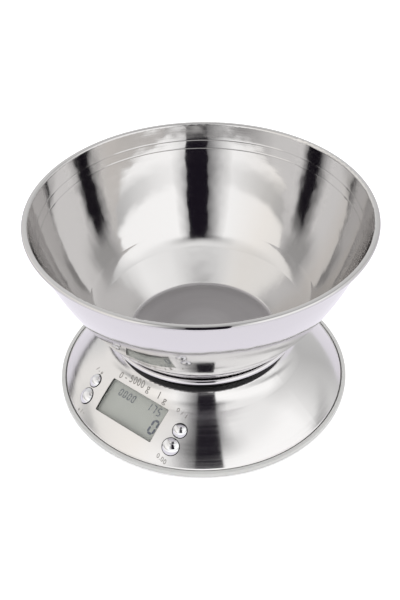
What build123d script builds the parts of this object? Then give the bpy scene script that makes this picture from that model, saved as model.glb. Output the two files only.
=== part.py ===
from build123d import *
from math import atan2, cos, degrees, hypot, radians, sin, sqrt
import os

# Digital kitchen scale with a lift-off mixing bowl. Millimetres, +Z up, origin on the table under
# the middle of the scale. The display faces -Y.

# ---- Driving dimensions -------------------------------------------------------------------------

# How far a cutting or trimming tool reaches past the wall that it works on
cut_reach = 10.0

# Feet and lower case
foot_radius = 6.0
foot_stand = 2.0
foot_recess = 1.0
foot_inset = 17.3
case_radius = 99.3
case_floor = 2.2
case_edge_round = 2.0
ledge_rise = 2.1
ledge_round = 0.6
seam_gap = 0.35
register_wall = 1.6
register_rise = 3.2
register_gap = 0.15
rib_width = 1.4
rib_rise = 2.2
rest_x = 16.0
rest_width = 3.0
rest_depth = 5.0

# Pressed steel skin and the moulded upper case under it
skin_sheet = 0.5
upper_wall = 2.0
ledge_width = 3.0
skirt_roll = 3.0
flank_width = 28.3
shoulder_rise = 22.5
shoulder_slope = 30.0
flank_radius = 120.0
neck_radius = 24.0
collar_rise = 9.4
collar_roll = 1.2
collar_land = 3.6
collar_wall = 1.6
collar_depth = 9.0

# Display and main board, stacked in the tilted frame of the display window
window_width = 47.6
window_height = 23.7
window_corner = 0.8
window_inset = 21.9
window_slope = 34.7
window_sink = 1.9
lens_lap = 1.0
lens_thickness = 1.2
panel_thickness = 1.8
strip_thickness = 1.8
strip_width = 2.2
pocket_wall = 1.4
part_gap = 0.1
board_thickness = 1.2
board_head_room = 6.0
board_boss_radius = 2.6
board_screw_x = 20.0
chip_size = 10.0
chip_height = 1.4
buzzer_radius = 5.5
buzzer_height = 4.0

# Keys, in pairs on both sides of the display
key_pair_inset = 13.7
key_pair_azimuth = 26.3
key_small_radius = 4.5
key_big_radius = 5.4
key_web = 0.6
key_dome_rise = 2.1
key_edge = 0.4
key_travel = 0.5
key_clearance = 0.5
key_ear_lap = 1.0
key_ear_width = 5.0
key_flange = 1.2
key_play = 0.7
key_stem_radius = 1.5
key_stem_length = 2.2
stem_clearance = 0.25
key_spigot_radius = 1.8
key_spigot_length = 2.0
switch_size = 5.0
switch_height = 2.6
key_board_length = 17.6
key_post_offset = 5.9
key_post_radius = 2.0

# Load cell
cell_length = 80.0
cell_width = 12.7
cell_bore_radius = 5.0
cell_bore_offset = 7.5
cell_slot = 3.0
cell_hole_inner = 20.0
cell_hole_pitch = 15.0
cell_pad_height = 8.8
cell_pad_margin = 1.0
gauge_length = 26.0
gauge_height = 0.8
stop_gap = 0.9

# Platform
dish_sheet = 0.6
dish_gap = 0.35
ring_radius = 64.0
ring_roll = 1.5
ring_skirt = 0.5
carrier_wall = 2.0
carrier_height = 6.0
carrier_hem = 4.0
carrier_rib = 4.0
collar_gap = 1.5

# Bowl: its wall leaves the floor as a cone and goes over into an arc that ends at the rim
bowl_sheet = 0.6
bowl_rim_radius = 110.0
bowl_height = 99.4
bowl_floor_inset = 4.4
bowl_corner = 3.8
bowl_cone_angle = 39.4
bowl_cone_rise = 21.8
bead_width = 4.0
bead_height = 3.0

# Batteries and their bay
cell_aaa_radius = 5.25
cell_aaa_length = 44.5
cell_aaa_nub_radius = 1.9
cell_aaa_nub = 1.0
bay_inset = 37.3
bay_wall = 1.6
bay_gap = 0.4
contact_sheet = 0.4
contact_reach = 2.6
door_thickness = 1.8
door_lap = 1.6
door_gap = 0.3
door_seat_gap = 0.05
door_notch_radius = 4.2
door_notch_drop = 3.2
door_notch_width = 16.0
tab_width = 8.0
tab_reach = 2.0
tab_thickness = 0.8

# Screws
head_gap = 0.3
screw_radius = 1.4
screw_head_radius = 2.7
screw_head = 1.8
screw_clearance = 0.05
case_boss_radius = 4.2
case_boss_rise = 4.0
case_screw_inset = 21.3
case_screw_azimuth = 25.0
case_screw_bite = 8.0
small_screw_radius = 0.9
small_head_radius = 1.8
small_head = 1.2
small_bite = 3.0
cell_screw_radius = 2.0
cell_head_radius = 3.6
cell_head = 2.2
cell_bite = 8.0

# ---- Levels and centres worked out from them ----------------------------------------------------

case_bottom = foot_stand
foot_ring_radius = case_radius - foot_inset
case_screw_ring = case_radius - case_screw_inset
skirt_radius = case_radius - ledge_width
shoulder_radius = skirt_radius - flank_width
window_reach = skirt_radius - window_inset
key_pair_radius = skirt_radius - key_pair_inset
bay_centre_y = case_radius - bay_inset
floor_top = case_bottom + case_floor
ledge_top = floor_top + ledge_rise
shoulder_z = ledge_top + shoulder_rise
collar_top = shoulder_z + collar_rise
bowl_floor_z = collar_top
dish_floor_z = bowl_floor_z - dish_sheet
carrier_bottom = dish_floor_z - carrier_wall
cell_bottom = floor_top + cell_pad_height
cell_top = cell_bottom + cell_width
rim_top = bowl_floor_z + bowl_height

# Profile centres as (r, z) pairs in the half section
slope_r = sin(radians(shoulder_slope))
slope_z = cos(radians(shoulder_slope))
flank_centre = (shoulder_radius - flank_radius * slope_r, shoulder_z - flank_radius * slope_z)
neck_centre = (shoulder_radius + neck_radius * slope_r, shoulder_z + neck_radius * slope_z)

# The collar's lip meets the neck tangentially; the bore and what sits in it follow from there
lip_drop = neck_centre[1] - (collar_top - collar_roll)
lip_radius = neck_centre[0] - sqrt((neck_radius + collar_roll) ** 2 - lip_drop**2)
collar_bore = lip_radius - collar_land
bowl_floor_radius = collar_bore - bowl_floor_inset

# Outer surface of the bowl's wall: cone from the floor, then an arc tangent to it up to the bead
cone_out = cos(radians(bowl_cone_angle))
cone_down = sin(radians(bowl_cone_angle))
bead_centre = (bowl_rim_radius - bead_width / 2, rim_top - bead_height / 2)
cone_top = (bowl_floor_radius + bowl_cone_rise * cone_down / cone_out, bowl_floor_z + bowl_cone_rise)
wall_run = bowl_rim_radius - bead_width + bowl_sheet - cone_top[0]
wall_rise = bead_centre[1] - cone_top[1]
wall_turn = radians(bowl_cone_angle) - atan2(wall_run, wall_rise)
wall_radius = hypot(wall_run, wall_rise) / (2 * sin(wall_turn))
wall_centre = (cone_top[0] - wall_radius * cone_out, cone_top[1] + wall_radius * cone_down)


# ---- Helpers ------------------------------------------------------------------------------------

def bearing(centre, point):
    """Direction in degrees from centre to point."""
    return degrees(atan2(point[1] - centre[1], point[0] - centre[0]))


def on_circle(centre, radius, angle):
    """Point of a circle at an angle in degrees."""
    return (centre[0] + radius * cos(radians(angle)), centre[1] + radius * sin(radians(angle)))


def arc(centre, radius, start, end):
    """Arc of a circle between two angles in degrees."""
    return ThreePointArc(
        on_circle(centre, radius, start),
        on_circle(centre, radius, (start + end) / 2),
        on_circle(centre, radius, end),
    )


def chain(*pieces):
    """Closed face through pieces that are arcs or single points, joined by straight lines."""
    edges = []
    first = None
    last = None
    for piece in pieces:
        point = isinstance(piece, tuple)
        start = Vector(*piece) if point else piece @ 0
        if last is not None and (start - last).length > 1e-6:
            edges.append(Line(last, start))
        if not point:
            edges.append(piece)
        last = start if point else piece @ 1
        first = start if first is None else first
    if (last - first).length > 1e-6:
        edges.append(Line(last, first))
    return make_face(Curve() + edges)


def turned(face):
    """Solid of revolution of a half section about Z."""
    return revolve(Plane.XZ * face, Axis.Z)


def disc(radius, bottom, top, x=0.0, y=0.0):
    """Upright cylinder between two levels."""
    return Pos(x, y, (bottom + top) / 2) * Cylinder(radius, top - bottom)


def block(low, high):
    """Box between two corners."""
    size = [high[i] - low[i] for i in range(3)]
    return Pos(*[(high[i] + low[i]) / 2 for i in range(3)]) * Box(*size)


def slab(place, width, height, low, high, u=0.0, v=0.0, corner=0.0):
    """Plate in a tilted frame, between two distances along the frame's normal."""
    outline = RectangleRounded(width, height, corner) if corner else Rectangle(width, height)
    return place * Pos(u, v, low) * extrude(outline, high - low)


def peg(place, radius, low, high, u=0.0, v=0.0):
    """Cylinder along the normal of a tilted frame."""
    return place * Pos(u, v, (low + high) / 2) * Cylinder(radius, high - low)


def polar(radius, azimuth):
    """Plan position at an azimuth in degrees from the display, positive towards +X."""
    return (radius * sin(radians(azimuth)), -radius * cos(radians(azimuth)))


# ---- Base cover surface -------------------------------------------------------------------------

def cover_solid(inset):
    """Everything under the cover's outer surface, with that surface moved in by inset."""
    roll = max(skirt_roll - inset, 0.3)
    lip = max(collar_roll - inset, 0.3)
    side = skirt_radius - inset
    top = collar_top - inset
    flank = flank_radius - inset
    neck = neck_radius + inset
    roll_r = side - roll
    roll_centre = (roll_r, flank_centre[1] + sqrt((flank - roll) ** 2 - (roll_r - flank_centre[0]) ** 2))
    lip_z = top - lip
    lip_centre = (neck_centre[0] - sqrt((neck + lip) ** 2 - (neck_centre[1] - lip_z) ** 2), lip_z)
    roll_angle = bearing(flank_centre, roll_centre)
    shoulder_angle = 90 - shoulder_slope
    lip_angle = bearing(lip_centre, neck_centre)
    below = case_bottom - skirt_roll
    return turned(
        chain(
            (0, below),
            (side, below),
            arc(roll_centre, roll, 0, roll_angle),
            arc(flank_centre, flank, roll_angle, shoulder_angle),
            arc(neck_centre, neck, 180 + shoulder_angle, 180 + lip_angle),
            arc(lip_centre, lip, lip_angle, 90),
            (0, top),
        )
    )


def flank_height(radius):
    """Height of the cover's outer surface on its flank."""
    return flank_centre[1] + sqrt(flank_radius**2 - (radius - flank_centre[0]) ** 2)


def flank_reach(height, inset):
    """Radius of the flank, moved in by inset, at a height."""
    return flank_centre[0] + sqrt((flank_radius - inset) ** 2 - (height - flank_centre[1]) ** 2)


def flank_normal(radius, azimuth):
    """Outward normal of the cover on its flank."""
    tilt = (radius - flank_centre[0]) / flank_radius
    x, y = polar(tilt, azimuth)
    return Vector(x, y, sqrt(1 - tilt**2))


# ---- Frames of the display and the keys ---------------------------------------------------------

window_normal = (0, -sin(radians(window_slope)), cos(radians(window_slope)))
window_z = flank_height(hypot(window_reach, window_width / 2))
display = Plane(origin=(0, -window_reach, window_z), x_dir=(1, 0, 0), z_dir=window_normal).location

lens_top = -window_sink
lens_bottom = lens_top - lens_thickness
panel_bottom = lens_bottom - panel_thickness
board_top = panel_bottom - strip_thickness
board_bottom = board_top - board_thickness
lens_width = window_width + 2 * lens_lap
lens_height = window_height + 2 * lens_lap
pocket_width = lens_width + 2 * part_gap
pocket_height = lens_height + 2 * part_gap
frame_width = pocket_width + 2 * pocket_wall
frame_height = pocket_height + 2 * pocket_wall
board_low = -frame_height / 2
board_high = frame_height / 2 + board_head_room
board_screw_v = frame_height / 2 + board_head_room / 2

key_pitch = key_small_radius + key_big_radius + 2 * key_clearance + key_web
key_flange_top = -(skin_sheet + upper_wall + key_play)
key_flange_bottom = key_flange_top - key_flange
key_stem_bottom = key_flange_bottom - key_stem_length
switch_top = key_flange_bottom - 2 * key_travel
switch_bottom = switch_top - switch_height
key_board_bottom = switch_bottom - board_thickness


def key_frame(side):
    """Frame of a pair of keys: X runs uphill through both, Z is the cover's normal between them."""
    azimuth = side * key_pair_azimuth
    x, y = polar(key_pair_radius, azimuth)
    normal = flank_normal(key_pair_radius, azimuth)
    uphill = Vector(0, normal.Z, -normal.Y)
    return Plane(origin=(x, y, flank_height(key_pair_radius)), x_dir=uphill, z_dir=normal).location


keys = []
for side, side_name in ((-1, "left"), (1, "right")):
    for step, row_name, radius in ((1, "upper", key_small_radius), (-1, "lower", key_big_radius)):
        keys.append((f"{side_name}_{row_name}", key_frame(side), step * key_pitch / 2, radius))


# ---- Base body ----------------------------------------------------------------------------------

def case_screw_places():
    """Plan positions of the screws that join the two halves of the case."""
    azimuths = [middle + side * case_screw_azimuth for middle in (90, -90) for side in (-1, 1)]
    return [polar(case_screw_ring, azimuth) for azimuth in azimuths]


def foot_places():
    """Plan positions of the feet."""
    return [polar(foot_ring_radius, azimuth) for azimuth in (45, 135, 225, 315)]


def base_skin():
    """Pressed stainless cover, with the window and the key holes punched in it."""
    skin = cover_solid(0) - cover_solid(skin_sheet)
    skin -= disc(collar_bore, floor_top, collar_top + 1)
    skin -= block((-case_radius, -case_radius, -case_radius), (case_radius, case_radius, floor_top))
    skin -= slab(display, window_width, window_height, -cut_reach, cut_reach, corner=window_corner)
    for name, place, offset, radius in keys:
        skin -= peg(place, radius + key_clearance, key_flange_top, cut_reach, u=offset)
    return skin


def upper_case():
    """Moulded carrier of the skin, with the display pocket, key posts and screw bosses."""
    under_skin = cover_solid(skin_sheet)
    body = under_skin - cover_solid(skin_sheet + upper_wall)
    body += disc(collar_bore + collar_wall, collar_top - skin_sheet - collar_depth, collar_top - skin_sheet)
    fittings = slab(display, frame_width, frame_height, board_top, cut_reach)
    for side in (-1, 1):
        fittings += peg(display, board_boss_radius, board_top, cut_reach,
                        side * board_screw_x, board_screw_v)
        for offset in (-key_post_offset, key_post_offset):
            fittings += peg(key_frame(side), key_post_radius, switch_bottom, 0, v=offset)
    for x, y in case_screw_places():
        fittings += disc(case_boss_radius - 1, floor_top + case_boss_rise, shoulder_z, x, y)
    body += fittings & under_skin
    body -= disc(collar_bore, floor_top - cut_reach, collar_top + 1)
    body -= block((-case_radius, -case_radius, -case_radius), (case_radius, case_radius, floor_top))
    body -= slab(display, window_width, window_height, -cut_reach, cut_reach, corner=window_corner)
    body -= slab(display, pocket_width, pocket_height, board_top - cut_reach, lens_top)
    hole = screw_radius + screw_clearance
    small_hole = small_screw_radius + screw_clearance
    for x, y in case_screw_places():
        body -= disc(hole, floor_top, floor_top + case_boss_rise + case_screw_bite + 1, x, y)
    for side in (-1, 1):
        body -= peg(display, small_hole, board_top - 1, board_top + small_bite,
                    side * board_screw_x, board_screw_v)
        for offset in (-key_post_offset, key_post_offset):
            body -= peg(key_frame(side), small_hole, switch_bottom - 1, switch_bottom + small_bite,
                        v=offset)
    for name, place, offset, radius in keys:
        body -= peg(place, radius + key_clearance, key_stem_bottom, cut_reach, u=offset)
    return body


def battery_places():
    """Centres of the two cells across the bay, with the way each one points along X."""
    half = cell_aaa_radius + bay_gap / 2
    return [(bay_centre_y - half, 1), (bay_centre_y + half, -1)]


bay_half_x = cell_aaa_length / 2 + contact_reach
bay_half_y = 2 * cell_aaa_radius + bay_gap
bay_cell_z = case_bottom + door_thickness + bay_gap + cell_aaa_radius
bay_roof = bay_cell_z + cell_aaa_radius + bay_gap
door_half_x = bay_half_x + door_lap
door_near_y = bay_centre_y - bay_half_y - door_lap
door_far_y = bay_centre_y + bay_half_y + door_lap
tab_low = case_bottom + door_thickness - tab_thickness


def lower_case():
    """Moulded tray: rim, register wall, battery bay, load cell pad, bosses and ribs."""
    rim_inner = skirt_radius + seam_gap
    wall_outer = skirt_radius - skin_sheet - upper_wall - register_gap
    wall_reach = flank_reach(floor_top + register_rise, skin_sheet + upper_wall)
    wall_inner = min(wall_reach, wall_outer) - register_wall
    case_side = case_radius - case_edge_round
    section = chain(
        (0, case_bottom),
        arc((case_side, case_bottom + case_edge_round), case_edge_round, -90, 0),
        arc((case_radius - ledge_round, ledge_top - ledge_round), ledge_round, 0, 90),
        (rim_inner, ledge_top),
        (rim_inner, floor_top),
        (0, floor_top),
    )
    body = turned(section)
    ring = disc(wall_outer, floor_top, floor_top + register_rise)
    ring -= disc(wall_inner, floor_top, floor_top + register_rise)
    body += ring & cover_solid(skin_sheet + upper_wall + register_gap)
    pad_length = cell_length / 2 - cell_hole_inner + 2 * cell_screw_radius + cell_pad_margin
    pad_half = cell_width / 2 + cell_pad_margin
    pad_end = -cell_length / 2 - cell_pad_margin
    body += block((pad_end, -pad_half, floor_top), (pad_end + pad_length, pad_half, cell_bottom))
    stop_x = cell_length / 2 - cell_pad_margin
    body += block((cell_hole_inner, -pad_half, floor_top), (stop_x, pad_half, cell_bottom - stop_gap))
    bay_low = (-bay_half_x - bay_wall, door_near_y + door_lap - bay_wall, floor_top)
    bay_high = (bay_half_x + bay_wall, door_far_y - door_lap + bay_wall, bay_roof + bay_wall)
    body += block(bay_low, bay_high)
    rib = block((cell_length / 2 + 4, -rib_width / 2, floor_top),
                (wall_inner + register_wall / 4, rib_width / 2, floor_top + rib_rise))
    for azimuth in (-40, 0, 40, 140, 180, 220):
        body += Rot(0, 0, azimuth) * rib
    for x, y in case_screw_places():
        body += disc(case_boss_radius, floor_top, floor_top + case_boss_rise, x, y)
    under_board = slab(display, frame_width, frame_height, board_bottom - frame_height, board_bottom)
    rest_y = -window_reach - rest_depth
    for side in (-1, 1):
        rest = block((side * rest_x - rest_width / 2, rest_y - rest_depth / 2, floor_top),
                     (side * rest_x + rest_width / 2, rest_y + rest_depth / 2, shoulder_z))
        body += rest & under_board
    body -= block((-bay_half_x, door_near_y + door_lap, 0), (bay_half_x, door_far_y - door_lap, bay_roof))
    seat = case_bottom + door_thickness + door_seat_gap
    body -= block((-door_half_x - door_gap, door_near_y - door_gap, 0),
                  (door_half_x + door_gap, door_far_y + door_gap, seat))
    slot_half = tab_width / 2 + door_gap
    for side in (-1, 1):
        tab_x = side * bay_half_x / 2
        body -= block((tab_x - slot_half, door_near_y - tab_reach - 1, tab_low - part_gap),
                      (tab_x + slot_half, door_near_y + door_lap + 1, floor_top + 1))
    for x, y in foot_places():
        body -= disc(foot_radius + part_gap, case_bottom - 1, case_bottom + foot_recess, x, y)
    hole = screw_radius + screw_clearance
    for x, y in case_screw_places():
        body -= disc(hole, 0, floor_top + case_boss_rise + 1, x, y)
        body -= disc(screw_head_radius + head_gap, 0, floor_top, x, y)
    for x in (-cell_hole_inner, -cell_hole_inner - cell_hole_pitch):
        body -= disc(cell_screw_radius + screw_clearance, 0, cell_bottom + 1, x)
        body -= disc(cell_head_radius + head_gap, 0, floor_top + cell_head, x)
    return body


def foot(x, y):
    """Soft disc foot glued in its recess."""
    body = disc(foot_radius, 0, case_bottom + foot_recess, x, y)
    return chamfer(body.edges().group_by(Axis.Z)[0], foot_stand / 4)


def load_cell():
    """Aluminium beam with the two joined bores that let its free end sink parallel."""
    beam = block((-cell_length / 2, -cell_width / 2, cell_bottom),
                 (cell_length / 2, cell_width / 2, cell_top))
    middle = (cell_bottom + cell_top) / 2
    for side in (-1, 1):
        bore = Cylinder(cell_bore_radius, 2 * cell_width, rotation=(90, 0, 0))
        beam -= Pos(side * cell_bore_offset, 0, middle) * bore
    beam -= Pos(0, 0, middle) * Box(2 * cell_bore_offset, 2 * cell_width, cell_slot)
    for x in (cell_hole_inner, cell_hole_inner + cell_hole_pitch):
        beam -= disc(cell_screw_radius + screw_clearance, cell_bottom - 1, cell_bottom + cell_bite + 1, -x)
        beam -= disc(cell_screw_radius + screw_clearance, cell_top - cell_bite - 1, cell_top + 1, x)
    return beam


def gauge_coating():
    """Sealant over the strain gauges on the top of the beam."""
    pad = block((-gauge_length / 2, -cell_width / 2 + 1, cell_top),
                (gauge_length / 2, cell_width / 2 - 1, cell_top + gauge_height))
    return chamfer(pad.edges().group_by(Axis.Z)[-1], gauge_height / 2)


def screw(radius, head_radius, head, length):
    """Pan head screw that points up from the seat of its head at the origin."""
    return disc(radius, -head / 2, length) + disc(head_radius, -head, 0) - disc(radius / 2, -head, -head / 2)


def case_screws():
    """Screws that clamp the upper case to the lower one."""
    body = screw(screw_radius, screw_head_radius, screw_head, case_boss_rise + case_screw_bite)
    return Compound(children=[Pos(x, y, floor_top) * body for x, y in case_screw_places()])


def cell_base_screws():
    """Screws from the underside into the fixed end of the load cell."""
    seat = floor_top + cell_head
    body = screw(cell_screw_radius, cell_head_radius, cell_head, cell_bottom - seat + cell_bite)
    places = (-cell_hole_inner, -cell_hole_inner - cell_hole_pitch)
    return Compound(children=[Pos(x, 0, seat) * body for x in places])


def display_lens():
    """Clear window plate, seated against the pocket's shoulder."""
    return slab(display, lens_width, lens_height, lens_bottom, lens_top)


def display_panel():
    """Liquid crystal glass under the window plate."""
    glass = slab(display, lens_width, lens_height, panel_bottom, lens_bottom)
    return glass - slab(display, lens_width, strip_width, panel_bottom, panel_bottom + panel_thickness / 2,
                        v=(lens_height - strip_width) / 2 + 1)


def display_strips():
    """Elastomer contact strips between the glass and the main board."""
    inset = (lens_height - strip_width) / 2 - 1.6
    return Compound(children=[
        slab(display, lens_width - 4, strip_width, board_top, panel_bottom, v=side * inset)
        for side in (-1, 1)
    ])


def main_board():
    """Circuit board that closes the display pocket."""
    board = slab(display, frame_width, board_high - board_low, board_bottom, board_top,
                 v=(board_high + board_low) / 2)
    for side in (-1, 1):
        board -= peg(display, small_screw_radius + screw_clearance, board_bottom - 1, board_top + 1,
                     side * board_screw_x, board_screw_v)
    return board


def board_chip():
    """Controller package under the main board."""
    return slab(display, chip_size, chip_size, board_bottom - chip_height, board_bottom,
                u=chip_size / 2 + 2, v=4)


def buzzer():
    """Sounder under the main board."""
    body = peg(display, buzzer_radius, board_bottom - buzzer_height, board_bottom,
               u=-buzzer_radius - 4, v=6)
    return body - peg(display, 1.0, board_bottom - buzzer_height - 1, board_bottom - buzzer_height / 2,
                      u=-buzzer_radius - 4, v=6)


def key_board(side):
    """Small board that carries two switches under a pair of keys."""
    width = 2 * (key_post_offset + key_post_radius)
    board = slab(key_frame(side), key_board_length, width, key_board_bottom, switch_bottom)
    for offset in (-key_post_offset, key_post_offset):
        board -= peg(key_frame(side), small_screw_radius + screw_clearance,
                     key_board_bottom - 1, switch_bottom + 1, v=offset)
    return board


def key_switches(side):
    """Push switches, each with a well for the stem of its key."""
    bodies = []
    for step in (-1, 1):
        offset = step * key_pitch / 2
        body = slab(key_frame(side), switch_size, switch_size, switch_bottom, switch_top, u=offset)
        well_bottom = key_stem_bottom - key_travel - part_gap
        well = peg(key_frame(side), key_stem_radius + stem_clearance, well_bottom, key_flange_top, u=offset)
        bodies.append(body - well)
    return Compound(children=bodies)


def board_screws():
    """Small screws of the main board and both key boards."""
    body = screw(small_screw_radius, small_head_radius, small_head, board_thickness + small_bite)
    bodies = []
    for side in (-1, 1):
        bodies.append(display * Pos(side * board_screw_x, board_screw_v, board_bottom) * body)
        for offset in (-key_post_offset, key_post_offset):
            bodies.append(key_frame(side) * Pos(0, offset, key_board_bottom) * body)
    return Compound(children=bodies)


def battery(y, way):
    """Small round cell with its button end."""
    length = cell_aaa_length - cell_aaa_nub
    nub = Pos(0, 0, cell_aaa_length / 2) * Cylinder(cell_aaa_nub_radius, cell_aaa_nub)
    can = Cylinder(cell_aaa_radius, length) + nub
    return Pos(0, y, bay_cell_z) * Rot(0, 90 * way, 0) * Pos(0, 0, -cell_aaa_nub / 2) * can


def battery_contact(y, end, reach):
    """Bent spring strip between the bay's end wall and the cell."""
    half = cell_aaa_radius - 1
    wall = bay_half_x
    tip = bay_half_x - reach
    low = bay_cell_z - half
    high = bay_cell_z + half
    strip = chain(
        (wall, low), (wall, high), (wall - contact_sheet, high),
        (wall - contact_sheet, low + contact_sheet + 1),
        (tip + contact_sheet, bay_cell_z + 1), (tip, bay_cell_z + 1), (tip, bay_cell_z - 1),
        (tip + contact_sheet, bay_cell_z - 1), (wall - contact_sheet - 0.5, low),
    )
    body = Pos(0, half / 2, 0) * extrude(Plane.XZ * strip, half)
    return Pos(0, y, 0) * (body if end > 0 else mirror(body, Plane.YZ))


def battery_contacts():
    """Spring strips at both ends of both cells."""
    return Compound(children=[
        battery_contact(y, end, contact_reach) for y, way in battery_places() for end in (-1, 1)
    ])


# ---- Moving bodies ------------------------------------------------------------------------------

def battery_door():
    """Door plate with two tabs on its hinge edge and a finger notch at the other edge."""
    body = block((-door_half_x, door_near_y, case_bottom),
                 (door_half_x, door_far_y, case_bottom + door_thickness))
    for side in (-1, 1):
        tab_x = side * bay_half_x / 2
        body += block((tab_x - tab_width / 2, door_near_y - tab_reach, tab_low),
                      (tab_x + tab_width / 2, door_near_y + 1, tab_low + tab_thickness))
    notch = Cylinder(door_notch_radius, door_notch_width, rotation=(0, 90, 0))
    return body - Pos(0, door_far_y, case_bottom - door_notch_drop) * notch


def key_cap(place, offset, radius):
    """Plated dome whose straight side runs down through the cover, with a socket for its stem."""
    dome_radius = (radius**2 + key_dome_rise**2) / (2 * key_dome_rise)
    dome_centre = (0, key_edge + key_dome_rise - dome_radius)
    socket_top = key_flange_top + key_spigot_length + part_gap
    section = chain(
        (key_spigot_radius + screw_clearance, key_flange_top),
        (radius, key_flange_top),
        arc(dome_centre, dome_radius, bearing(dome_centre, (radius, key_edge)), 90),
        (0, socket_top),
        (key_spigot_radius + screw_clearance, socket_top),
    )
    return place * Pos(offset, 0, 0) * turned(section)


def key_stem(place, offset, radius):
    """Plunger with two ears that keep the cap in; its foot presses the switch."""
    ears = 2 * (radius + key_clearance + key_ear_lap)
    body = slab(place, key_ear_width, ears, key_flange_bottom, key_flange_top, u=offset)
    body += peg(place, key_spigot_radius, key_flange_top, key_flange_top + key_spigot_length, u=offset)
    return body + peg(place, key_stem_radius, key_stem_bottom, key_flange_bottom, u=offset)


def corner_arc(floor_z, offset, corner):
    """Arc between a floor and the cone of the bowl's wall, moved outward by offset."""
    centre_z = floor_z + corner
    centre_r = bowl_floor_radius + (offset - corner + (centre_z - bowl_floor_z) * cone_down) / cone_out
    return arc((centre_r, centre_z), corner, -90, -bowl_cone_angle)


def cone_point(offset, height):
    """Point at a height on the cone of the bowl's wall, moved outward by offset."""
    return (bowl_floor_radius + (offset + (height - bowl_floor_z) * cone_down) / cone_out, height)


def wall_arc(offset):
    """Arc of the bowl's wall between its cone and the middle of the bead, moved outward by offset."""
    drop = wall_centre[1] - bead_centre[1]
    radius = wall_radius + offset
    return arc(wall_centre, radius, -bowl_cone_angle, -degrees(atan2(drop, sqrt(radius**2 - drop**2))))


def flipped(edge):
    """The same edge drawn the other way."""
    return ThreePointArc(edge @ 1, edge @ 0.5, edge @ 0)


dish_offset = dish_gap + dish_sheet
roll_r = ring_radius - ring_roll
roll_reach = (roll_r - bowl_floor_radius) * cone_out - dish_gap - ring_roll
roll_centre = (roll_r, bowl_floor_z + roll_reach / cone_down)


def platform_dish():
    """Polished weighing dish with a rolled rim that ends in a short skirt."""
    skirt_end = roll_centre[1] - ring_skirt
    return turned(
        chain(
            (0, bowl_floor_z),
            corner_arc(bowl_floor_z, dish_gap, bowl_corner),
            arc(roll_centre, ring_roll, 180 - bowl_cone_angle, 0),
            (ring_radius, skirt_end),
            (ring_radius - dish_sheet, skirt_end),
            arc(roll_centre, ring_roll - dish_sheet, 0, 180 - bowl_cone_angle),
            flipped(corner_arc(dish_floor_z, dish_offset, bowl_corner + dish_sheet)),
            (0, dish_floor_z),
        )
    )


def platform_carrier():
    """Moulded plate under the dish, with the boss that stands on the load cell."""
    edge_z = bowl_floor_z + carrier_height
    top_corner = corner_arc(dish_floor_z, dish_offset, bowl_corner + dish_sheet)
    low_corner = corner_arc(carrier_bottom, dish_offset + carrier_wall,
                            bowl_corner + dish_sheet + carrier_wall)
    body = turned(
        chain(
            (0, dish_floor_z),
            top_corner,
            cone_point(dish_offset, edge_z),
            cone_point(dish_offset + carrier_wall, edge_z),
            flipped(low_corner),
            (0, carrier_bottom),
        )
    )
    boss_low = cell_hole_inner - cell_screw_radius - 2 * cell_pad_margin
    boss_top = carrier_bottom + carrier_wall / 2
    body += block((boss_low, -cell_width / 2, cell_top), (cell_length / 2, cell_width / 2, boss_top))
    hem_radius = collar_bore - collar_gap
    hem = disc(hem_radius, carrier_bottom - carrier_hem, dish_floor_z)
    body += hem - disc(hem_radius - carrier_wall, carrier_bottom - carrier_hem, dish_floor_z)
    for azimuth in range(0, 180, 45):
        rib = block((-hem_radius + carrier_wall / 2, -rib_width / 2, carrier_bottom - carrier_rib),
                    (hem_radius - carrier_wall / 2, rib_width / 2, carrier_bottom + carrier_wall / 2))
        body += Rot(0, 0, azimuth) * rib
    for x in (cell_hole_inner, cell_hole_inner + cell_hole_pitch):
        body -= disc(cell_screw_radius + screw_clearance, cell_top - 1, dish_floor_z + 1, x)
        body -= disc(cell_head_radius + head_gap, dish_floor_z - cell_head - head_gap, dish_floor_z + 1, x)
    return body


def carrier_screws():
    """Screws from the carrier down into the free end of the load cell."""
    seat = dish_floor_z - cell_head - head_gap
    length = seat - cell_top + cell_bite
    body = Rot(180, 0, 0) * screw(cell_screw_radius, cell_head_radius, cell_head, length)
    places = (cell_hole_inner, cell_hole_inner + cell_hole_pitch)
    return Compound(children=[Pos(x, 0, seat) * body for x in places])


def bowl():
    """Spun mixing bowl with a curled rim."""
    wall = chain(
        (0, bowl_floor_z),
        corner_arc(bowl_floor_z, 0, bowl_corner),
        wall_arc(0),
        flipped(wall_arc(-bowl_sheet)),
        flipped(corner_arc(bowl_floor_z + bowl_sheet, -bowl_sheet, bowl_corner - bowl_sheet)),
        (0, bowl_floor_z + bowl_sheet),
    )
    hollow = SlotOverall(bead_width - 2 * bowl_sheet, bead_height - 2 * bowl_sheet)
    slit = Pos(1.5 * bowl_sheet - bead_width / 2, -bead_height / 2) * Rectangle(bowl_sheet, 1.5 * bead_height / 2)
    bead = SlotOverall(bead_width, bead_height) - hollow - slit
    return turned(wall + Pos(*bead_centre) * bead)


# ---- Files --------------------------------------------------------------------------------------

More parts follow.
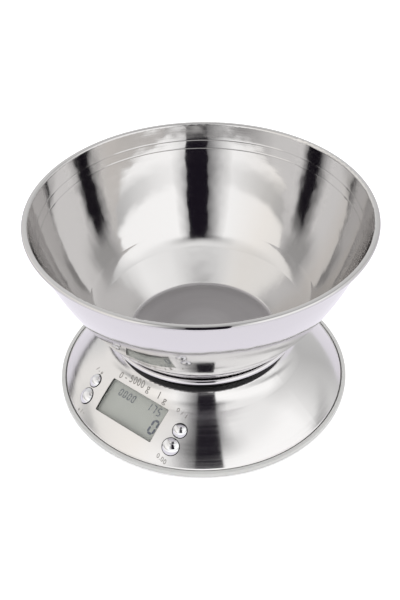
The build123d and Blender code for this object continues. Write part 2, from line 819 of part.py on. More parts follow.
nodes = {
    "base_skin": base_skin(),
    "upper_case": upper_case(),
    "lower_case": lower_case(),
    "load_cell": load_cell(),
    "gauge_coating": gauge_coating(),
    "case_screws": case_screws(),
    "cell_base_screws": cell_base_screws(),
    "display_lens": display_lens(),
    "display_panel": display_panel(),
    "display_strips": display_strips(),
    "main_board": main_board(),
    "board_chip": board_chip(),
    "buzzer": buzzer(),
    "board_screws": board_screws(),
    "battery_contacts": battery_contacts(),
    "battery_door": battery_door(),
    "platform_dish": platform_dish(),
    "platform_carrier": platform_carrier(),
    "carrier_screws": carrier_screws(),
    "bowl": bowl(),
}
for side, side_name in ((-1, "left"), (1, "right")):
    nodes[f"key_board_{side_name}"] = key_board(side)
    nodes[f"key_switches_{side_name}"] = key_switches(side)
for name, place, offset, radius in keys:
    nodes[f"key_cap_{name}"] = key_cap(place, offset, radius)
    nodes[f"key_stem_{name}"] = key_stem(place, offset, radius)
for number, (x, y) in enumerate(foot_places(), start=1):
    nodes[f"foot_{number}"] = foot(x, y)
for number, (y, way) in enumerate(battery_places(), start=1):
    nodes[f"battery_{number}"] = battery(y, way)

os.makedirs("parts", exist_ok=True)
for name, shape in nodes.items():
    export_step(shape, f"parts/{name}.step")
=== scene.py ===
import math

import bmesh
import bpy
from mathutils import Matrix, Vector


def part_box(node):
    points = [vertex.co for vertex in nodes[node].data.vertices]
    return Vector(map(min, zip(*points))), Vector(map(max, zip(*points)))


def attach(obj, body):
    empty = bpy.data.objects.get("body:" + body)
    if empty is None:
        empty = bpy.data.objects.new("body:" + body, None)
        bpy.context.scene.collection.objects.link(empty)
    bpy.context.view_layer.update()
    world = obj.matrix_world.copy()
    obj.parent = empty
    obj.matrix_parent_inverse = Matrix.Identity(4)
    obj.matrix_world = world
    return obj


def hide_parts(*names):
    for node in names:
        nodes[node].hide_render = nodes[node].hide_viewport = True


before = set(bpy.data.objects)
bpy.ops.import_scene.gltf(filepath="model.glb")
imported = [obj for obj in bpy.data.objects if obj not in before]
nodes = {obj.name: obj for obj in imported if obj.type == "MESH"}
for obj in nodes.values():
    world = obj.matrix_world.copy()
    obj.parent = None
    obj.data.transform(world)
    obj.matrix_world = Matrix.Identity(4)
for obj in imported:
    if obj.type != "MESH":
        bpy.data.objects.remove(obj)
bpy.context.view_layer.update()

MM = 0.001


# ---- Colours and node helpers --------------------------------------------------------------------

def srgb(red, green, blue):
    """Linear colour of an 8-bit display colour."""
    out = []
    for value in (red, green, blue):
        c = value / 255
        out.append(c / 12.92 if c <= 0.04045 else ((c + 0.055) / 1.055) ** 2.4)
    return (*out, 1.0)


def grey(value):
    """Linear colour of an 8-bit display grey."""
    return srgb(value, value, value)


class Tree:
    """A node tree with short calls for nodes and links."""

    def __init__(self, tree):
        self.tree = tree
        tree.nodes.clear()

    def add(self, kind, inputs=None, **props):
        """New node; an input given as another node's output is linked, any other is set."""
        node = self.tree.nodes.new(kind)
        for key, value in props.items():
            setattr(node, key, value)
        for key, value in (inputs or {}).items():
            if isinstance(value, bpy.types.NodeSocket):
                self.link(value, node, key)
            else:
                node.inputs[key].default_value = value
        return node

    def link(self, output, node, name):
        self.tree.links.new(output, node.inputs[name])

    def math(self, operation, first, second=0.0):
        return self.add("ShaderNodeMath", {0: first, 1: second}, operation=operation).outputs[0]

    def dot(self, first, second):
        node = self.add("ShaderNodeVectorMath", {0: first, 1: second}, operation="DOT_PRODUCT")
        return node.outputs["Value"]

    def split(self, vector):
        """X, Y and Z of a vector."""
        return self.add("ShaderNodeSeparateXYZ", {0: vector}).outputs

    def span(self, value, start, end, low, high):
        """Number that goes from low to high while value goes from start to end."""
        return self.add("ShaderNodeMapRange", {"Value": value, "From Min": start, "From Max": end,
                                               "To Min": low, "To Max": high}).outputs[0]

    # The Mix node has its number sockets at 2 and 3, and its colour sockets at 6 and 7
    def mix(self, factor, first, second, blend="MIX"):
        """Colour between first and second."""
        return self.add("ShaderNodeMix", {0: factor, 6: first, 7: second}, data_type="RGBA",
                        blend_type=blend).outputs[2]

    def mix_number(self, factor, first, second):
        """Number between first and second."""
        return self.add("ShaderNodeMix", {0: factor, 2: first, 3: second}).outputs[0]

    def mix_shader(self, factor, first, second):
        return self.add("ShaderNodeMixShader", {0: factor, 1: first, 2: second}).outputs[0]

    def noise(self, vector, scale, detail):
        return self.add("ShaderNodeTexNoise", {"Vector": vector, "Scale": scale,
                                               "Detail": detail}).outputs["Fac"]

    def bump(self, height, strength, distance):
        return self.add("ShaderNodeBump", {"Height": height, "Strength": strength,
                                           "Distance": distance}).outputs[0]

    def glow(self, colour, strength):
        return self.add("ShaderNodeEmission", {"Color": colour, "Strength": strength}).outputs[0]

    def backdrop(self, colour, strength):
        return self.add("ShaderNodeBackground", {"Color": colour, "Strength": strength}).outputs[0]

    def ramp(self, factor, stops, ease=False):
        """Colour ramp through (place, colour) stops."""
        node = self.add("ShaderNodeValToRGB", {"Fac": factor})
        band = node.color_ramp
        band.interpolation = "EASE" if ease else "LINEAR"
        while len(band.elements) > 1:
            band.elements.remove(band.elements[-1])
        for index, (place, colour) in enumerate(stops):
            stop = band.elements[0] if index == 0 else band.elements.new(place)
            stop.position = place
            stop.color = colour
        return node.outputs["Color"]


def new_material(name):
    """Material without nodes, and its tree."""
    mat = bpy.data.materials.new(name)
    mat.use_nodes = True
    return mat, Tree(mat.node_tree)


def material(name, build, **sockets):
    """Principled material: constants go on the shader, build adds what varies over the surface."""
    mat, tree = new_material(name)
    shader = tree.add("ShaderNodeBsdfPrincipled")
    for key, value in sockets.items():
        shader.inputs[key.replace("_", " ")].default_value = value
    tree.add("ShaderNodeOutputMaterial", {"Surface": shader.outputs[0]})
    build(tree, shader)
    return mat


# ---- Materials -----------------------------------------------------------------------------------

# Scales are in cells per metre, depths are those of a bump as high as 1
NOISE_LOW, NOISE_HIGH = 0.3, 0.7      # most of the noise lies between these
FINE_DETAIL = 3.0
TOOL_MARK_DEPTH = 0.02 * MM
GRAIN_DEPTH = 0.03 * MM
DRIFT_SCALE, DRIFT_DETAIL = 60.0, 4.0
SPUN_WANDER = 2.0


def rest_place(tree):
    """Position on the part at rest, in metres."""
    return tree.add("ShaderNodeTexCoord").outputs["Object"]


def ring_noise(tree, scale, wander, detail=FINE_DETAIL):
    """Noise drawn out round the Z axis, as a lathe leaves it; wander sets how it changes on the way round."""
    x, y, z = tree.split(rest_place(tree))
    square = tree.math("ADD", tree.math("MULTIPLY", x, x), tree.math("MULTIPLY", y, y))
    radius = tree.math("SQRT", square)
    angle = tree.math("ARCTAN2", y, x)
    point = tree.add("ShaderNodeCombineXYZ", {
        0: tree.math("MULTIPLY", radius, scale),
        1: tree.math("MULTIPLY", z, scale),
        2: tree.math("MULTIPLY", tree.math("SINE", angle), wander),
    }).outputs[0]
    return tree.noise(point, 1.0, detail)


def stretch_round_axis(tree, shader):
    """The anisotropic highlights follow the turning marks round the Z axis."""
    tangent = tree.add("ShaderNodeTangent", direction_type="RADIAL", axis="Z").outputs[0]
    tree.link(tangent, shader, "Tangent")


def turned(low, high, scale, strength):
    """Turned metal: roughness and a fine bump that follow the spinning marks."""
    def build(tree, shader):
        marks = ring_noise(tree, scale, SPUN_WANDER)
        tree.link(tree.span(marks, NOISE_LOW, NOISE_HIGH, low, high), shader, "Roughness")
        tree.link(tree.bump(marks, strength, TOOL_MARK_DEPTH), shader, "Normal")
        stretch_round_axis(tree, shader)
    return build


def grained(colour, other, scale=900.0, low=0.35, high=0.5, strength=0.3):
    """Moulded or rolled surface: faint colour drift, fine texture and uneven gloss."""
    def build(tree, shader):
        spot = rest_place(tree)
        drift = tree.noise(spot, DRIFT_SCALE, DRIFT_DETAIL)
        tree.link(tree.mix(drift, colour, other), shader, "Base Color")
        grain = tree.noise(spot, scale, FINE_DETAIL)
        tree.link(tree.span(grain, 0.0, 1.0, low, high), shader, "Roughness")
        tree.link(tree.bump(grain, strength, GRAIN_DEPTH), shader, "Normal")
    return build


STEEL = (0.70, 0.69, 0.69, 1)
SKIN_STEEL = (0.66, 0.65, 0.645, 1)
# Inside of the bowl: the same steel as outside, made darker as painted shade
INNER_STEEL_SHADED = (0.62, 0.61, 0.605, 1)
# Floor of the bowl: darker steel still, as painted shade; the turning rings go between the two colours
SATIN_FLOOR_SHADED_DARK = (0.50, 0.48, 0.49, 1)
SATIN_FLOOR_SHADED_PALE = (0.62, 0.60, 0.61, 1)
LINE_TINT = (0.3, 0.3, 0.3, 1)
KEY_CHROME = (0.72, 0.72, 0.73, 1)

# Bowl finish, with heights above the lowest point of the bowl unless they say otherwise
LINE_HEIGHTS = (121.0 * MM, 126.5 * MM)     # spinning lines near the rim, above the table
LINE_HALF_WIDTH = 0.6 * MM
LINE_SHADE = 0.3
FLOOR_TOP = 1.2 * MM                  # the flat floor of the bowl lies below this
FLOOR_ROUGHNESS = (0.3, 0.42)
WALL_ROUGHNESS = (0.04, 0.09)
SATIN_FULL, SATIN_GONE = 21.0 * MM, 31.0 * MM
SATIN_ROUGHNESS = 0.18
SATIN_PIVOT = 27.0 * MM
SATIN_TILT = 8500.0                   # bump height per metre of rise: leans the satin zone's reflections
FINE_RINGS = (700.0, 1.2, 4.0)        # scale, wander and detail
BROAD_RINGS = (90.0, 0.5, 2.0)
RING_HEIGHT = 0.2
WAVE_SCALE, WAVE_DETAIL = 75.0, 1.0   # slight unevenness of the drawn wall
WAVE_HEIGHT = 6.0


def bowl_finish_and_shade(tree, shader):
    """Polished wall with two spinning lines near the rim, satin towards the floor and its turning rings;
    painted shade darkens the steel inside the bowl, and more on its floor.
    """
    spot = rest_place(tree)
    z = tree.split(spot)[2]
    facing = tree.split(tree.add("ShaderNodeTexCoord").outputs["Normal"])[2]
    inner = tree.math("GREATER_THAN", facing, 0.0)
    floor_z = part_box("bowl")[0][2]
    on_floor = tree.math("LESS_THAN", z, floor_z + FLOOR_TOP)
    satin = tree.math("MULTIPLY", tree.span(z, floor_z + SATIN_FULL, floor_z + SATIN_GONE, 1.0, 0.0), inner)
    rings = ring_noise(tree, *FINE_RINGS)
    broad_rings = ring_noise(tree, *BROAD_RINGS)
    lower_line, upper_line = (
        tree.span(tree.math("ABSOLUTE", tree.math("SUBTRACT", z, height)), 0.0, LINE_HALF_WIDTH, 1.0, 0.0)
        for height in LINE_HEIGHTS
    )
    lines = tree.math("MULTIPLY", tree.math("ADD", lower_line, upper_line), inner)

    # Painted shade: the inside of the bowl takes the darker steel colour
    sides_inner_shaded = tree.mix(inner, STEEL, INNER_STEEL_SHADED)
    wall_tint_and_shade = tree.mix(tree.math("MULTIPLY", lines, LINE_SHADE), sides_inner_shaded, LINE_TINT)
    # Painted shade on the bowl's floor, with its real turning rings between the two colours
    floor_rings_and_shade = tree.mix(broad_rings, SATIN_FLOOR_SHADED_DARK, SATIN_FLOOR_SHADED_PALE)
    tree.link(tree.mix(on_floor, wall_tint_and_shade, floor_rings_and_shade), shader, "Base Color")

    wall_rough = tree.span(rings, 0.0, 1.0, *WALL_ROUGHNESS)
    floor_rough = tree.span(rings, 0.0, 1.0, *FLOOR_ROUGHNESS)
    brushed = tree.mix_number(satin, wall_rough, SATIN_ROUGHNESS)
    tree.link(tree.mix_number(on_floor, brushed, floor_rough), shader, "Roughness")

    waves = tree.noise(spot, WAVE_SCALE, WAVE_DETAIL)
    height = tree.math("ADD", tree.math("ADD", tree.math("MULTIPLY", rings, RING_HEIGHT), lines),
                       tree.math("MULTIPLY", waves, WAVE_HEIGHT))
    rise = tree.math("MULTIPLY", tree.math("SUBTRACT", z, floor_z + SATIN_PIVOT), satin)
    lean = tree.math("MULTIPLY", rise, SATIN_TILT)
    tree.link(tree.bump(tree.math("SUBTRACT", height, lean), 1.0, TOOL_MARK_DEPTH), shader, "Normal")
    stretch_round_axis(tree, shader)


# turned: roughness low and high, scale, bump; grained: two colours, scale, roughness low and high, bump
skin_steel = material("skin_steel", turned(0.10, 0.17, 900.0, 0.25),
                      Base_Color=SKIN_STEEL, Metallic=1.0, Anisotropic=0.75, Anisotropic_Rotation=0.25)
dish_steel = material("dish_steel", turned(0.07, 0.12, 900.0, 0.15),
                      Base_Color=STEEL, Metallic=1.0, Anisotropic=0.5, Anisotropic_Rotation=0.25)
bowl_steel = material("bowl_steel_finish_and_shade", bowl_finish_and_shade,
                      Metallic=1.0, Anisotropic=0.5, Anisotropic_Rotation=0.25)
rim_plastic = material("rim_plastic",
                       grained(srgb(216, 216, 213), srgb(208, 208, 206), 1500.0, 0.3, 0.42, 0.2))
black_abs = material("black_abs", grained(srgb(24, 24, 26), srgb(32, 32, 34), 1800.0, 0.3, 0.5, 0.4))
chrome = material("key_chrome_finish", turned(0.03, 0.06, 2500.0, 0.05), Base_Color=KEY_CHROME, Metallic=1.0)
lens_clear = material("lens_clear",
                      grained(srgb(236, 240, 238), srgb(232, 238, 236), 500.0, 0.03, 0.06, 0.02),
                      Alpha=0.04, IOR=1.49)
lcd_glass = material("lcd_glass", grained(srgb(184, 186, 178), srgb(178, 180, 174), 200.0, 0.25, 0.35, 0.05))
lcd_ink = material("lcd_ink", grained(srgb(96, 100, 112), srgb(104, 108, 118), 900.0, 0.3, 0.4, 0.05))
strip_rubber = material("strip_rubber_finish", grained(srgb(230, 120, 150), srgb(225, 110, 140)))
board_green = material("board_mask", grained(srgb(20, 84, 48), srgb(28, 96, 56), 700.0, 0.25, 0.4, 0.2))
chip_black = material("chip_epoxy", grained(srgb(22, 22, 24), srgb(30, 30, 32), 2600.0, 0.4, 0.6, 0.5))
cell_metal = material("cell_milled",
                      grained(srgb(206, 208, 210), srgb(196, 198, 200), 1200.0, 0.25, 0.4, 0.4), Metallic=1.0)
gauge_white = material("gauge_sealant",
                       grained(srgb(236, 236, 230), srgb(226, 226, 220), 400.0, 0.3, 0.5, 0.5))
screw_zinc = material("screw_zinc",
                      grained(srgb(196, 198, 202), srgb(182, 184, 190), 2600.0, 0.2, 0.4, 0.3), Metallic=1.0)
spring_plate = material("spring_plate",
                        grained(srgb(214, 212, 206), srgb(200, 198, 192), 1600.0, 0.2, 0.35, 0.2),
                        Metallic=1.0)
wrap = material("battery_film", grained(srgb(52, 58, 66), srgb(60, 66, 74), 400.0, 0.2, 0.3, 0.05))
rubber = material("foot_soft", grained(srgb(226, 226, 224), srgb(214, 214, 212), 1400.0, 0.55, 0.75, 0.5))
label_ink = material("label_ink", grained(srgb(132, 129, 124), srgb(142, 139, 134), 1200.0, 0.4, 0.55, 0.1))

finishes = {
    "base_skin": skin_steel, "upper_case": black_abs, "lower_case": rim_plastic, "load_cell": cell_metal,
    "gauge_coating": gauge_white, "case_screws": screw_zinc, "cell_base_screws": screw_zinc,
    "display_lens": lens_clear, "display_panel": lcd_glass, "display_strips": strip_rubber,
    "main_board": board_green, "board_chip": chip_black, "buzzer": chip_black, "board_screws": screw_zinc,
    "battery_contacts": spring_plate, "battery_door": rim_plastic, "platform_dish": dish_steel,
    "platform_carrier": black_abs, "carrier_screws": screw_zinc, "bowl": bowl_steel,
}
family_finishes = {
    "key_board": board_green, "key_switches": chip_black, "key_cap": chrome, "key_stem": black_abs,
    "foot": rubber, "battery": wrap,
}
for name, item in nodes.items():
    finish = finishes.get(name)
    if finish is None:
        finish = next(made for family, made in family_finishes.items() if name.startswith(family + "_"))
    item.data.materials.clear()
    item.data.materials.append(finish)


# ---- Pieces --------------------------------------------------------------------------------------

def put(name, data):
    """New object in the scene."""
    item = bpy.data.objects.new(name, data)
    bpy.context.scene.collection.objects.link(item)
    return item


def mesh_item(name, verts, faces, finish):
    """New flat-shaded mesh object in the scene."""
    mesh = bpy.data.meshes.new(name)
    mesh.from_pydata([tuple(v) for v in verts], [], faces)
    mesh.update()
    mesh.materials.append(finish)
    return put(name, mesh)


def piece(name, verts, faces, finish, body):
    """Mesh piece that rides on a body."""
    item = mesh_item(name, verts, faces, finish)
    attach(item, body)
    return item


# Display frame: U to the right, V uphill, N outward, from the middle of the window plate
WINDOW_SLOPE = math.radians(34.7)
lens_low, lens_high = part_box("display_lens")
lens_middle = (Vector(lens_low) + Vector(lens_high)) / 2
across = Vector((1, 0, 0))
uphill = Vector((0, math.cos(WINDOW_SLOPE), math.sin(WINDOW_SLOPE)))
outward = Vector((0, -math.sin(WINDOW_SLOPE), math.cos(WINDOW_SLOPE)))
PLATE_HALF_U, PLATE_HALF_V, PLATE_HALF_N = 24.8 * MM, 12.85 * MM, 0.6 * MM
PLATE_BEVEL = 0.25 * MM
PLATE_GAP = 0.15 * MM                 # between the plate and the liquid crystal glass
FIGURE_LIFT = 0.2 * MM                # of the figures above the glass


def on_window(u, v, n):
    """Point of the display frame, n above the middle of the window plate."""
    return lens_middle + across * u + uphill * v + outward * n


def lens_plate():
    """Window plate with softened edges, clear of the liquid crystal glass under it."""
    verts = []
    for n, inset in ((-PLATE_HALF_N + PLATE_GAP, 0.0), (PLATE_HALF_N - PLATE_BEVEL, 0.0),
                     (PLATE_HALF_N, PLATE_BEVEL)):
        for u, v in ((-1, -1), (1, -1), (1, 1), (-1, 1)):
            verts.append(on_window(u * (PLATE_HALF_U - inset), v * (PLATE_HALF_V - inset), n))
    faces = [(3, 2, 1, 0), (8, 9, 10, 11)]
    for ring in (0, 4):
        faces += [(ring + i, ring + (i + 1) % 4, ring + 4 + (i + 1) % 4, ring + 4 + i) for i in range(4)]
    plate = piece("window_plate", verts, faces, lens_clear, "base")
    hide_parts("display_lens")


lens_plate()

# Lit bars of each figure: a on top, b and c down the right, d below, e and f up the left, g in the middle
SEGMENTS = {"0": "abcdef", "1": "bc", "5": "afgcd", "7": "abc"}
BAR_CLEARANCE = 0.12                  # gap at each end of a bar, as a share of its stroke
LEAN = 0.08                           # of the figures to the right, per unit of height


def segment_bars(width, height):
    """Bars of a seven-segment figure as (u0, v0, u1, v1) centre lines."""
    w = width / 2
    h = height / 2
    return {"a": (-w, h, w, h), "g": (-w, 0, w, 0), "d": (-w, -h, w, -h), "f": (-w, h, -w, 0),
            "e": (-w, 0, -w, -h), "b": (w, h, w, 0), "c": (w, 0, w, -h)}


def figures(name, text, u, v, width, height, stroke, pitch):
    """Seven-segment figures as flat hexagonal bars in the display frame; sizes in millimetres."""
    u, v, width, height, stroke, pitch = (size * MM for size in (u, v, width, height, stroke, pitch))
    bars = segment_bars(width - stroke, height - stroke)
    verts = []
    faces = []
    for index, char in enumerate(text):
        for key in SEGMENTS[char]:
            u0, v0, u1, v1 = bars[key]
            along = Vector((u1 - u0, v1 - v0)).normalized()
            side = Vector((-along.y, along.x)) * stroke / 2
            start = Vector((u0, v0)) + along * stroke * BAR_CLEARANCE
            end = Vector((u1, v1)) - along * stroke * BAR_CLEARANCE
            ring = [start, start + along * stroke / 2 + side, end - along * stroke / 2 + side, end,
                    end - along * stroke / 2 - side, start + along * stroke / 2 - side]
            base = len(verts)
            for p in ring:
                verts.append(on_window(u + index * pitch + p.x + p.y * LEAN, v + p.y,
                                       -PLATE_HALF_N + FIGURE_LIFT))
            faces.append(tuple(range(base, base + len(ring))))
    piece(name, verts, faces, lcd_ink, "base")


figures("figures_left", "0000", -14.8, 6.2, 2.4, 5.0, 0.6, 3.6)
figures("figures_right", "175", 8.6, 7.4, 2.9, 5.6, 0.6, 4.3)
figures("figures_big", "0", 19.0, -2.6, 5.4, 10.4, 1.5, 6.0)


# Cover surface in section, as in the part's source: the flank bulges out below the shoulder, the neck
# hollows in above it, and both arcs meet there at SHOULDER_SLOPE
SHOULDER_R = 68.0 * MM
SHOULDER_Z = 28.8 * MM
SHOULDER_SLOPE = math.radians(30)
FLANK_R = 120.0 * MM
NECK_R = 24.0 * MM
flank_r = SHOULDER_R - FLANK_R * math.sin(SHOULDER_SLOPE)
flank_z = SHOULDER_Z - FLANK_R * math.cos(SHOULDER_SLOPE)
neck_r = SHOULDER_R + NECK_R * math.sin(SHOULDER_SLOPE)
neck_z = SHOULDER_Z + NECK_R * math.cos(SHOULDER_SLOPE)
LABEL_WEIGHT = 0.007                  # widening of the strokes, as a share of the size
LABEL_SPACING = 1.1
LABEL_EDGE = 0.8 * MM                 # longer edges are cut in three, so that they follow the cover
LABEL_LIFT = 0.06 * MM


def cover_height(x, y):
    """Height of the cover's surface above the table."""
    radius = math.hypot(x, y)
    if radius >= SHOULDER_R:
        return flank_z + math.sqrt(FLANK_R ** 2 - (radius - flank_r) ** 2)
    return neck_z - math.sqrt(NECK_R ** 2 - (radius - neck_r) ** 2)


def label(name, text, x, y, size, turn):
    """Printed characters laid on the cover; x, y and size in millimetres, turn in degrees."""
    curve = bpy.data.curves.new(name, "FONT")
    curve.body = text
    curve.size = size * MM
    curve.align_x = "CENTER"
    curve.align_y = "CENTER"
    curve.space_character = LABEL_SPACING
    curve.offset = LABEL_WEIGHT * size * MM
    curve.resolution_u = 3
    holder = put(name + "_text", curve)
    bpy.context.view_layer.update()
    mesh = bpy.data.meshes.new_from_object(holder.evaluated_get(bpy.context.evaluated_depsgraph_get()))
    bpy.data.objects.remove(holder)
    work = bmesh.new()
    work.from_mesh(mesh)
    long_edges = [edge for edge in work.edges if edge.calc_length() > LABEL_EDGE]
    bmesh.ops.subdivide_edges(work, edges=long_edges, cuts=2)
    bmesh.ops.triangulate(work, faces=work.faces)
    spin = math.radians(turn)
    for vert in work.verts:
        u = vert.co.x * math.cos(spin) - vert.co.y * math.sin(spin)
        v = vert.co.x * math.sin(spin) + vert.co.y * math.cos(spin)
        px = x * MM + u
        py = y * MM + v * math.cos(WINDOW_SLOPE)
        vert.co = (px, py, cover_height(px, py) + LABEL_LIFT)
    work.to_mesh(mesh)
    work.free()
    mesh.materials.clear()
    mesh.materials.append(label_ink)
    item = put(name, mesh)
    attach(item, "base")


label("label_range", "0 - 5000 g   1 g", -0.8, -61.6, 5.9, 0)
label("label_left_upper", "1 - 9", -38.6, -63.0, 3.9, -28)
label("label_right_upper", "0 / 1", 32.0, -61.2, 4.2, 0)
label("label_right_lower", "0.00", 35.0, -86.2, 3.9, 0)
label("label_left_lower", "+ / -", -34.8, -87.0, 3.8, -10)


# ---- Stage: floor, surroundings and camera -------------------------------------------------------

VIEW_AZIMUTH = math.radians(39.4)
toward = (math.sin(VIEW_AZIMUTH), -math.cos(VIEW_AZIMUTH), 0.0)
rightward = (math.cos(VIEW_AZIMUTH), math.sin(VIEW_AZIMUTH), 0.0)

WHITE = (1, 1, 1, 1)
FLOOR_REACH = 4
FLOOR_PAPER = (0.95, 0.95, 0.95, 1)
FLOOR_LIFT = 0.5                      # glow that takes the floor to white where it is looked at
FLOOR_MIRRORED = (1.0, 0.97, 1.05, 1)       # colour of the floor in reflections


def looked_at(tree, rays):
    """1 for the camera's own rays, also through the window plate."""
    return tree.math("MAXIMUM", rays["Is Camera Ray"], rays["Is Transmission Ray"])


def paper_floor():
    """White where it is looked at, plain in reflections, and see-through from below."""
    mat, tree = new_material("floor")
    rays = tree.add("ShaderNodeLightPath").outputs
    paper = tree.add("ShaderNodeBsdfDiffuse", {"Color": FLOOR_PAPER}).outputs[0]
    lifted = tree.add("ShaderNodeAddShader", {0: paper, 1: tree.glow(WHITE, FLOOR_LIFT)}).outputs[0]
    seen = tree.mix_shader(looked_at(tree, rays), paper, lifted)
    upper_side = tree.mix_shader(rays["Is Glossy Ray"], seen, tree.glow(FLOOR_MIRRORED, 1.0))
    from_below = tree.add("ShaderNodeNewGeometry").outputs["Backfacing"]
    clear = tree.add("ShaderNodeBsdfTransparent").outputs[0]
    tree.add("ShaderNodeOutputMaterial", {"Surface": tree.mix_shader(from_below, upper_side, clear)})

    corners = [(u * FLOOR_REACH, v * FLOOR_REACH, 0) for u, v in ((-1, -1), (1, -1), (1, 1), (-1, 1))]
    floor = mesh_item("floor", corners, [(0, 1, 2, 3)], mat)


paper_floor()

BELOW_HORIZON = (0.67, 0.65, 0.70, 1)
MIRRORED_STRENGTH = 1.5               # of the walls, in reflections only
SOFT_STRENGTH = 1.1                   # of the even light on the object


def studio():
    """Walls and ceiling that reflections show, even light on the object, and white where it is looked at."""
    world = bpy.data.worlds.new("studio")
    bpy.context.scene.world = world
    world.use_nodes = True
    tree = Tree(world.node_tree)
    ray = tree.add("ShaderNodeTexCoord").outputs["Generated"]
    front = tree.dot(ray, toward)
    side = tree.dot(ray, rightward)
    up = tree.split(ray)[2]
    turn = tree.math("ADD", tree.math("DIVIDE", tree.math("ARCTAN2", side, front), 2 * math.pi), 0.5)
    elevation = tree.math("DIVIDE", tree.math("ARCSINE", up), math.pi / 2)

    def round_about(*stops):
        """Colour by bearing from the camera's side, in degrees, positive to its right."""
        return tree.ramp(turn, [(degrees / 360 + 0.5, colour) for degrees, colour in stops])

    def upwards(*stops, ease=False):
        """Colour by height above the horizon, in degrees."""
        return tree.ramp(elevation, [(degrees / 90, colour) for degrees, colour in stops], ease)

    def painted(base, bearings, heights, colour):
        """Base with a patch of colour where both masks are white."""
        return tree.mix(tree.math("MULTIPLY", bearings, heights), base, colour)

    # Walls: pale on the camera's side, greyer behind, and a little dimmer from 38 degrees up
    walls = round_about(
        (-180, grey(200)), (-140, grey(205)), (-128, srgb(226, 224, 222)), (-92, srgb(230, 228, 225)),
        (-60, srgb(240, 237, 233)), (-28, grey(248)), (16, grey(252)), (82, grey(250)),
        (104, grey(212)), (128, grey(178)), (180, grey(200)))
    upper = upwards((38, grey(255)), (50, grey(238)))
    # Dim patch high on the camera's side
    upper = painted(upper,
                    round_about((-44, grey(0)), (-18, grey(255)), (20, grey(255)), (44, grey(0))),
                    upwards((41, grey(0)), (47, grey(255)), (52, grey(255)), (57, grey(0))), grey(190))
    around = tree.mix(1.0, walls, upper, "MULTIPLY")
    # Ceiling
    overhead = upwards((0, grey(0)), (63, grey(0)), (72, grey(255)), ease=True)
    around = tree.mix(overhead, around, grey(158))
    # Dim band low on the walls, to the left and right
    around = painted(around,
                     round_about((-120, grey(0)), (-90, grey(255)), (-25, grey(120)), (0, grey(0)),
                                 (30, grey(120)), (90, grey(255)), (120, grey(0))),
                     upwards((9, grey(0)), (13, grey(255)), (18, grey(255)), (20.5, grey(0))), grey(150))
    # Dark line on the horizon, to the left and behind
    around = painted(around,
                     round_about((-160, grey(0)), (-150, grey(255)), (-102, grey(255)), (-88, grey(0))),
                     upwards((0, grey(255)), (3.6, grey(255)), (5.0, grey(0))), grey(40))
    # Table below the horizon
    around = tree.mix(tree.math("LESS_THAN", up, 0.0), around, BELOW_HORIZON)

    rays = tree.add("ShaderNodeLightPath").outputs
    mirrored = tree.backdrop(around, MIRRORED_STRENGTH)
    lit = tree.mix_shader(rays["Is Glossy Ray"], tree.backdrop(WHITE, SOFT_STRENGTH), mirrored)
    final = tree.mix_shader(looked_at(tree, rays), lit, tree.backdrop(WHITE, 1.0))
    tree.add("ShaderNodeOutputWorld", {"Surface": final})


studio()

PANEL_DISTANCE = 0.191                # from the middle of the scale, towards the camera
PANEL_HALF_WIDTH = 0.12
PANEL_LOW, PANEL_HIGH = 0.072, 0.40
PANEL_TINT = (0.012, 0.009, 0.016, 1)
EDGE_LEVEL = 0.075                    # height at which the two edges' places are given
LEFT_EDGE, RIGHT_EDGE = -0.019, 0.035
LEFT_SPREAD, RIGHT_SPREAD = 0.042, 0.060    # how much the dark gap widens per metre of height
LEFT_LEAD, LEFT_RAMP = 0.1, 0.12      # each edge's ramp starts this far before it, and is this long
RIGHT_LEAD, RIGHT_RAMP = 0.02, 0.1
SOFT_LOW, SOFT_HIGH = 0.13, 0.19      # the right edge is sharp below the first and soft above the second
TOP_RAMP = 0.42
TOP_FADE_LOW, TOP_FADE_HIGH = 0.350, 0.390


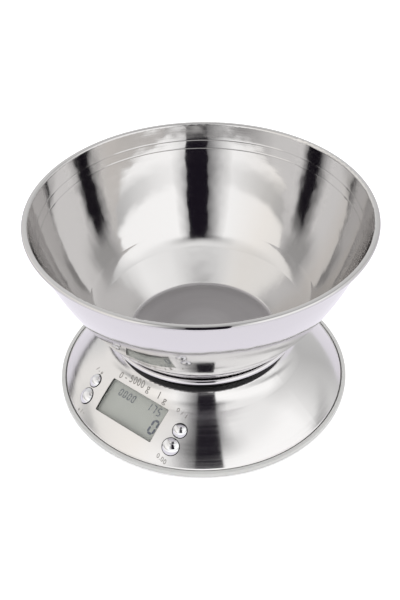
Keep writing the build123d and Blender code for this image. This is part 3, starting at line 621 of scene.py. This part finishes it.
def dark_panel():
    """Dark gap between the lights, on the camera's side; only reflections show it."""
    mat, tree = new_material("dark_panel")
    x, _, z = tree.split(rest_place(tree))
    rise = tree.math("SUBTRACT", z, EDGE_LEVEL)
    left_edge = tree.math("SUBTRACT", LEFT_EDGE, tree.math("MULTIPLY", rise, LEFT_SPREAD))
    right_edge = tree.math("ADD", RIGHT_EDGE, tree.math("MULTIPLY", rise, RIGHT_SPREAD))
    from_left = tree.math("SUBTRACT", x, left_edge)
    from_right = tree.math("SUBTRACT", x, right_edge)
    left_fade = tree.ramp(tree.math("DIVIDE", tree.math("ADD", from_left, LEFT_LEAD), LEFT_RAMP), [
        (0.15, grey(0)), (0.42, grey(140)), (0.63, grey(200)), (0.82, grey(236)), (0.84, grey(255))])
    right_fade = tree.ramp(tree.math("DIVIDE", tree.math("ADD", from_right, RIGHT_LEAD), RIGHT_RAMP), [
        (0.19, grey(255)), (0.215, grey(212)), (0.4, grey(150)), (0.68, grey(0))])
    sharp = tree.math("GREATER_THAN", 0.0, from_right)
    soft = tree.span(z, SOFT_LOW, SOFT_HIGH, 0.0, 1.0)
    right_reach = tree.math("MAXIMUM", sharp, soft)
    top_fade = tree.ramp(tree.math("DIVIDE", z, TOP_RAMP), [
        (TOP_FADE_LOW / TOP_RAMP, grey(255)), (TOP_FADE_HIGH / TOP_RAMP, grey(0))])
    mask = tree.math("MULTIPLY", tree.math("MULTIPLY", left_fade, right_fade),
                     tree.math("MULTIPLY", right_reach, top_fade))
    rays = tree.add("ShaderNodeLightPath").outputs
    clear = tree.add("ShaderNodeBsdfTransparent").outputs[0]
    mirrored = tree.math("MULTIPLY", mask, rays["Is Glossy Ray"])
    shown = tree.mix_shader(mirrored, clear, tree.glow(PANEL_TINT, 1.0))
    tree.add("ShaderNodeOutputMaterial", {"Surface": shown})

    corners = [(-PANEL_HALF_WIDTH, 0, PANEL_LOW), (PANEL_HALF_WIDTH, 0, PANEL_LOW),
               (PANEL_HALF_WIDTH, 0, PANEL_HIGH), (-PANEL_HALF_WIDTH, 0, PANEL_HIGH)]
    item = mesh_item("dark_panel", corners, [(0, 1, 2, 3)], mat)
    item.rotation_euler = (0, 0, VIEW_AZIMUTH)
    item.location = (toward[0] * PANEL_DISTANCE, toward[1] * PANEL_DISTANCE, 0)


dark_panel()

PITCH = math.radians(39.81)
YAW = math.radians(-0.13)
ROLL = math.radians(-1.1)
DISTANCE = 0.4887
HEIGHT = 0.4726
FOCAL_LENGTH, SENSOR_WIDTH = 57.48, 36.0    # in millimetres


def view_camera():
    """Camera above the table, pitched down at the scale, then yawed and rolled a little."""
    level = Vector(rightward)
    ahead = Vector((-toward[0] * math.cos(PITCH), -toward[1] * math.cos(PITCH), -math.sin(PITCH)))
    overhead = level.cross(ahead)
    aim = ahead * math.cos(YAW) + level * math.sin(YAW)
    aside = level * math.cos(YAW) - ahead * math.sin(YAW)
    right_axis = aside * math.cos(ROLL) + overhead * math.sin(ROLL)
    up_axis = overhead * math.cos(ROLL) - aside * math.sin(ROLL)
    data = bpy.data.cameras.new("camera")
    data.lens = FOCAL_LENGTH
    data.sensor_width = SENSOR_WIDTH
    camera = put("camera", data)
    pose = Matrix((right_axis, up_axis, -aim)).transposed().to_4x4()
    pose.translation = Vector((toward[0] * DISTANCE, toward[1] * DISTANCE, HEIGHT))
    camera.matrix_world = pose
    bpy.context.scene.camera = camera


view_camera()
bpy.context.scene.view_settings.view_transform = "Standard"
bpy.context.scene.cycles.glossy_bounces = 10     # the inside of the bowl mirrors itself many times

bpy.context.view_layer.update()
